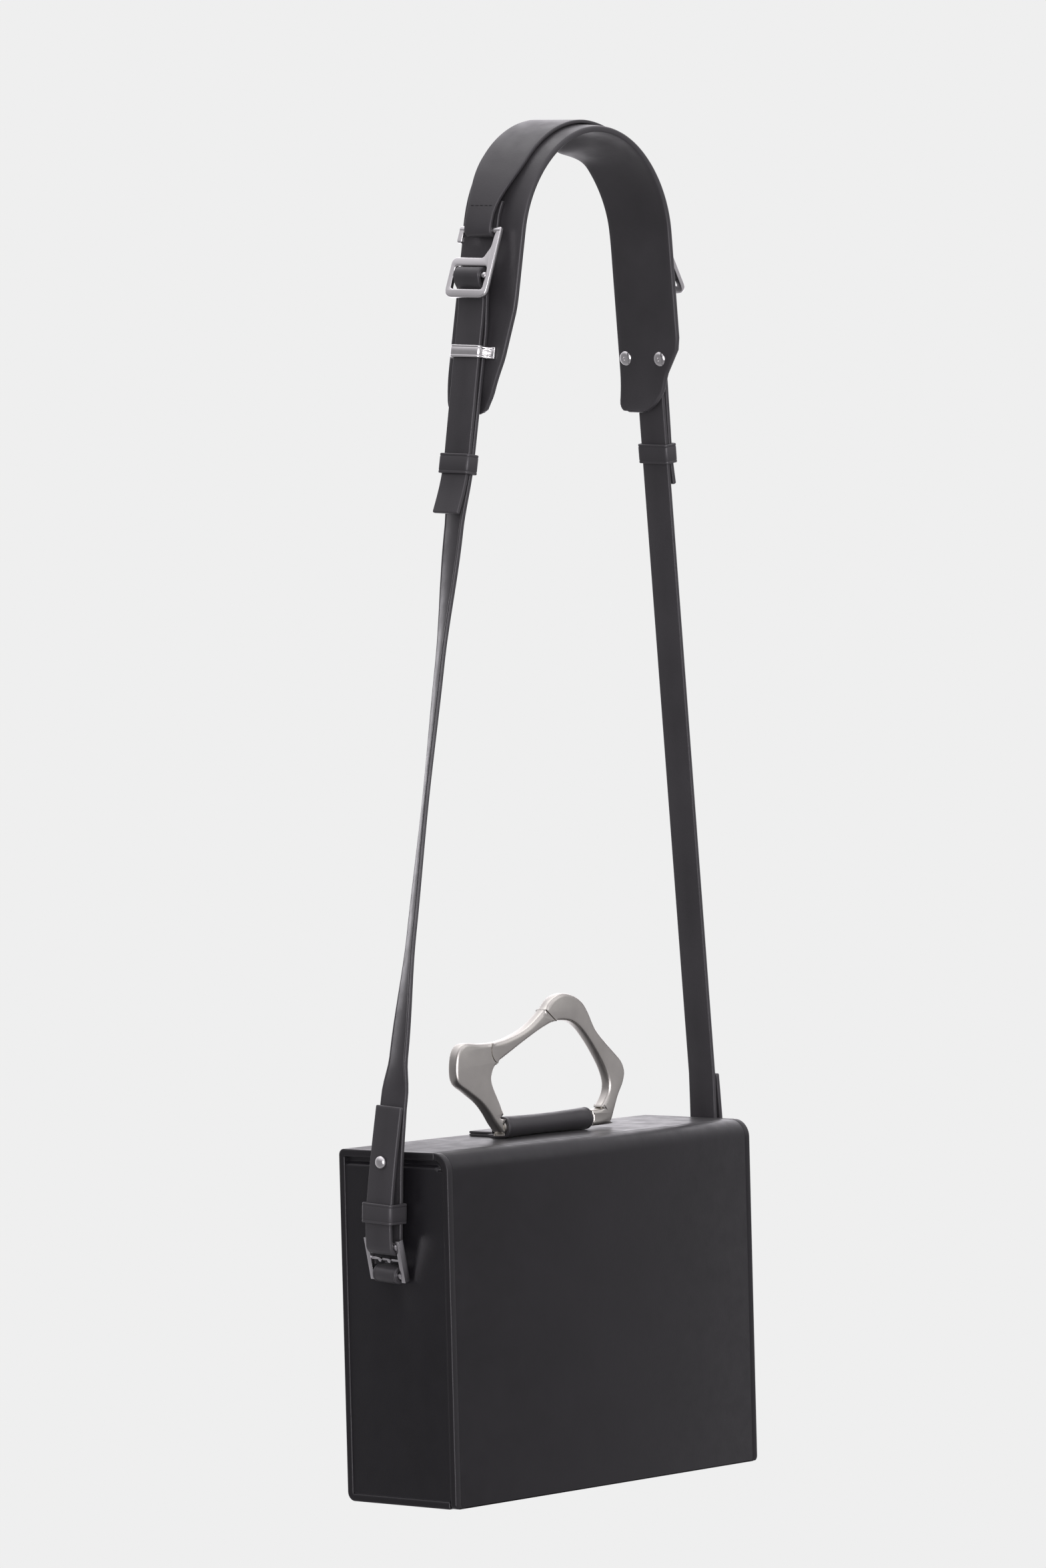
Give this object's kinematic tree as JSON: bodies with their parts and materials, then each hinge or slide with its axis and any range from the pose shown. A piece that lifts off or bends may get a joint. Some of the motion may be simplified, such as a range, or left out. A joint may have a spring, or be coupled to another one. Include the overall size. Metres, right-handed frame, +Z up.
{
  "type": "box handbag",
  "caption": "Rigid black leather box handbag hanging from its shoulder strap, with a lobed metal snap-ring handle, magnetic front flap and adjustable padded strap.",
  "frame": {"origin": "the hanging point, under the highest point of the shoulder pad's arch", "axes": "+Z up, the flap faces -Y, X along the bag's width with the handle's gate hinge on the -X side"},
  "size_m": [0.3376, 0.1169, 0.8977],
  "materials": {
    "leather": "smooth black calf leather, satin",
    "side_leather": "soft black leather, matte",
    "suede": "black microfibre",
    "board": "pressed fibre board",
    "steel": "plain steel",
    "ring_metal": "satin faces with polished bevels",
    "chrome": "polished"
  },
  "bodies": {
    "bag": {"top_panel": "leather", "back_panel": "leather", "bottom_panel": "leather", "flap_fold": "leather", "handle_tab": "leather", "left_side_tab": "leather", "right_side_tab": "leather", "left_strap": "leather", "right_strap": "leather", "shoulder_pad": "leather", "top_strap": "leather", "front_wall": "side_leather", "left_side_panel": "side_leather", "right_side_panel": "side_leather", "inner_pocket": "side_leather", "case_lining": "suede", "case_magnets": "steel", "handle_backplate": "steel", "handle_rivets": "steel", "left_tab_plate": "steel", "right_tab_plate": "steel", "left_tab_rivets": "steel", "right_tab_rivets": "steel", "left_buckle": "chrome", "right_buckle": "chrome", "left_strap_stud": "chrome", "right_strap_stud": "chrome", "left_bridge": "chrome", "right_bridge": "chrome", "left_bridge_screws": "chrome", "right_bridge_screws": "chrome", "left_hook": "chrome", "right_hook": "chrome"},
    "flap": {"flap_cover": "leather", "flap_board": "board", "flap_lining": "side_leather", "flap_magnets": "steel"},
    "handle": {"handle_frame": "ring_metal", "gate_spring": "steel"},
    "gate": {"handle_gate": "ring_metal", "gate_pin": "ring_metal"},
    "left_lower_keeper": {"left_lower_keeper": "leather"},
    "right_lower_keeper": {"right_lower_keeper": "leather"},
    "left_upper_keeper": {"left_upper_keeper": "leather"},
    "right_upper_keeper": {"right_upper_keeper": "leather"}
  },
  "joints": [
    {"name": "flap_hinge", "type": "hinge", "parent": "bag", "child": "flap", "pos_m": [0, -0.00498, -0.66529], "axis": [-1, 0, 0], "range_deg": [0, 90], "deforming": ["flap_fold"]},
    {"name": "handle_swing", "type": "hinge", "parent": "bag", "child": "handle", "pos_m": [0, 0.03773, -0.65251], "axis": [1, 0, 0], "range_deg": [-85, 85]},
    {"name": "gate_hinge", "type": "hinge", "parent": "handle", "child": "gate", "pos_m": [-0.047, 0.03773, -0.60101], "axis": [0, 1, 0], "range_deg": [0, 30], "stiffness_Nm_per_rad": 0.06, "springref_deg": -28.65, "deforming": ["gate_spring"]},
    {"name": "left_lower_keeper_slide", "type": "slide", "parent": "bag", "child": "left_lower_keeper", "axis": [0, -0.0523, 0.9986], "range_m": [-0.007, 0.02]},
    {"name": "left_upper_keeper_slide", "type": "slide", "parent": "bag", "child": "left_upper_keeper", "axis": [0.1349, -0.0519, 0.9895], "range_m": [0, 0.02]},
    {"name": "right_lower_keeper_slide", "type": "slide", "parent": "bag", "child": "right_lower_keeper", "axis": [0, -0.0523, 0.9986], "range_m": [-0.007, 0.02]},
    {"name": "right_upper_keeper_slide", "type": "slide", "parent": "bag", "child": "right_upper_keeper", "axis": [-0.1349, -0.0519, 0.9895], "range_m": [0, 0.02]}
  ]
}
